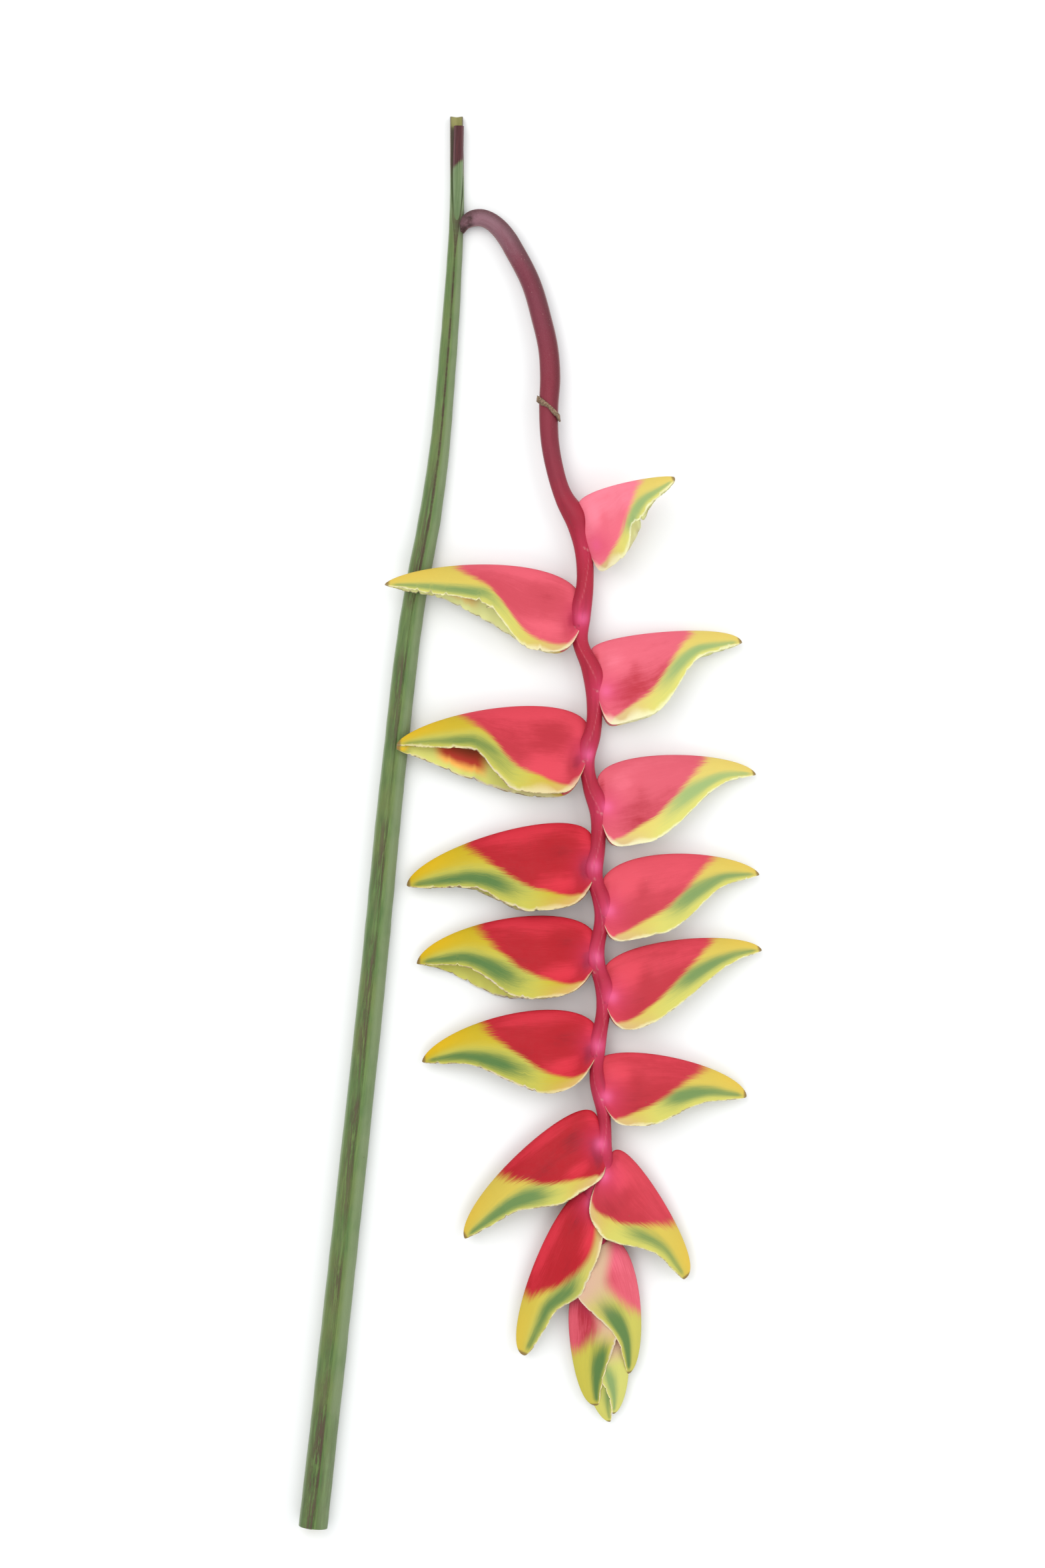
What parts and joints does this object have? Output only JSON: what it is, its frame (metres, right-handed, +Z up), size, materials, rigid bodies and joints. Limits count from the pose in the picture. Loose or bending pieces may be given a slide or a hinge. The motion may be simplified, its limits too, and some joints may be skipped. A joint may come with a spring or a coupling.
{
  "type": "lobster claw heliconia",
  "caption": "Cut heliconia stem with a hanging zigzag spike of red, yellow-tipped boat-shaped bracts, laid flat beside its green pseudostem.",
  "frame": {"origin": "on the surface that the plant lies on, under the centre of its bounding box", "axes": "+Z up from the surface; +Y along the stem from its cut foot to the cut leaf stalks; +X across, from the stem towards the inflorescence"},
  "size_m": [0.2504, 0.7637, 0.0386],
  "materials": {
    "sheath_green": "satin",
    "stalk_purple": "satin",
    "rachis_red": "matte",
    "dried_collar": "matte",
    "bract": "satin",
    "flower_cream": "matte"
  },
  "bodies": {
    "root": {"pseudostem": "sheath_green", "inner_leaf_stalk": "stalk_purple", "flower_stalk": "rachis_red", "collar": "dried_collar", "bract_right_1": "bract", "bract_right_2": "bract", "bract_right_3": "bract", "bract_right_4": "bract", "bract_right_5": "bract", "bract_right_6": "bract", "bract_right_7": "bract", "bract_right_8": "bract", "bract_right_9": "bract", "bract_left_1": "bract", "bract_left_2": "bract", "bract_left_3": "bract", "bract_left_4": "bract", "bract_left_5": "bract", "bract_left_6": "bract", "bract_left_7": "bract", "bract_left_8": "bract", "bract_left_9": "bract", "flowers_right_1": "flower_cream", "flowers_right_2": "flower_cream", "flowers_right_3": "flower_cream", "flowers_right_4": "flower_cream", "flowers_right_5": "flower_cream", "flowers_right_6": "flower_cream", "flowers_left_1": "flower_cream", "flowers_left_2": "flower_cream", "flowers_left_3": "flower_cream", "flowers_left_4": "flower_cream", "flowers_left_5": "flower_cream", "flowers_left_6": "flower_cream"}
  },
  "joints": []
}
